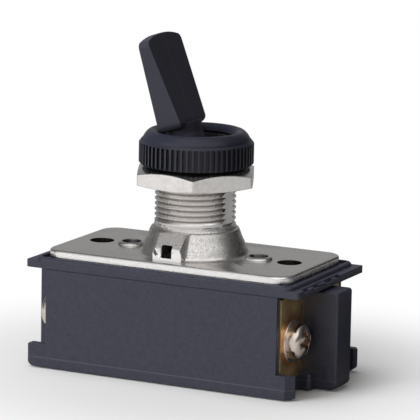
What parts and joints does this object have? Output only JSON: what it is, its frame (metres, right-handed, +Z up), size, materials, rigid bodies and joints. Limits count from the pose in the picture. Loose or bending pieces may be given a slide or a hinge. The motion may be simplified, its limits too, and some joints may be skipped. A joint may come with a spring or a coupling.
{
  "type": "toggle switch",
  "caption": "Panel toggle switch: moulded case with screw terminals, plated plate and threaded bushing, hex and fluted nuts, flat tapered lever.",
  "frame": {"origin": "centre of the flat bottom of the case", "axes": "+Z up the bushing, +X along the case towards the end with the terminals in view, -Y towards the front with the boss"},
  "size_m": [0.0488, 0.0222, 0.0493],
  "materials": {
    "phenolic": "moulded dark slate, low sheen",
    "fibre": "pressed fibre",
    "nickel": "satin nickel plate",
    "zinc": "satin zinc plate",
    "black_nut": "satin moulded",
    "lever_black": "satin moulded",
    "steel": "drawn bright",
    "brass": "stamped, lightly dulled",
    "screw_plate": "bright plated",
    "silver": "bright",
    "rocker_tan": "moulded"
  },
  "bodies": {
    "case": {"case_base": "phenolic", "case_cover": "phenolic", "fibre_sheet": "fibre", "mounting_frame": "nickel", "rivet_left": "zinc", "rivet_right": "zinc", "pivot_pin": "steel", "fixed_contacts": "silver", "terminal_right_front": "brass", "terminal_right_back": "brass", "terminal_left_front": "brass", "terminal_left_back": "brass"},
    "lever": {"lever": "lever_black", "plunger_spring": "steel"},
    "plunger": {"plunger": "brass"},
    "rocker": {"rocker": "rocker_tan", "blade_front": "brass", "blade_back": "brass", "moving_contacts": "silver"},
    "hex_nut": {"hex_nut": "nickel"},
    "ring_nut": {"ring_nut": "black_nut"},
    "screw_right_front": {"screw_right_front": "screw_plate", "washer_right_front": "screw_plate"},
    "screw_right_back": {"screw_right_back": "screw_plate", "washer_right_back": "screw_plate"},
    "screw_left_front": {"screw_left_front": "screw_plate", "washer_left_front": "screw_plate"},
    "screw_left_back": {"screw_left_back": "screw_plate", "washer_left_back": "screw_plate"}
  },
  "joints": [
    {"name": "lever_swing", "type": "hinge", "parent": "case", "child": "lever", "pos_m": [0, 0, 0.02908], "axis": [0, 1, 0], "range_deg": [0, 36.72]},
    {"name": "plunger_slide", "type": "slide", "parent": "lever", "child": "plunger", "axis": [-0.315, 0, 0.9491], "range_m": [0, 0.0012], "stiffness_N_per_m": 400, "springref_m": -0.002, "deforming": ["plunger_spring"]},
    {"name": "rocker_tilt", "type": "hinge", "parent": "case", "child": "rocker", "pos_m": [0, 0, 0.0076], "axis": [0, 1, 0], "range_deg": [-16, 0]},
    {"name": "hex_nut_travel", "type": "slide", "parent": "case", "child": "hex_nut", "axis": [0, 0, 1], "range_m": [-0.0052, 0]},
    {"name": "ring_nut_turn", "type": "hinge", "parent": "case", "child": "ring_nut", "pos_m": [0, 0, 0.0306], "axis": [0, 0, 1], "continuous": true},
    {"name": "screw_right_front_back_out", "type": "slide", "parent": "case", "child": "screw_right_front", "axis": [1, 0, 0], "range_m": [0, 0.0015]},
    {"name": "screw_right_back_back_out", "type": "slide", "parent": "case", "child": "screw_right_back", "axis": [1, 0, 0], "range_m": [0, 0.0015]},
    {"name": "screw_left_front_back_out", "type": "slide", "parent": "case", "child": "screw_left_front", "axis": [-1, 0, 0], "range_m": [0, 0.0015]},
    {"name": "screw_left_back_back_out", "type": "slide", "parent": "case", "child": "screw_left_back", "axis": [-1, 0, 0], "range_m": [0, 0.0015]}
  ],
  "couplings": [
    {"joint": "rocker_tilt", "follows": "lever_swing", "ratio": -0.43572}
  ]
}
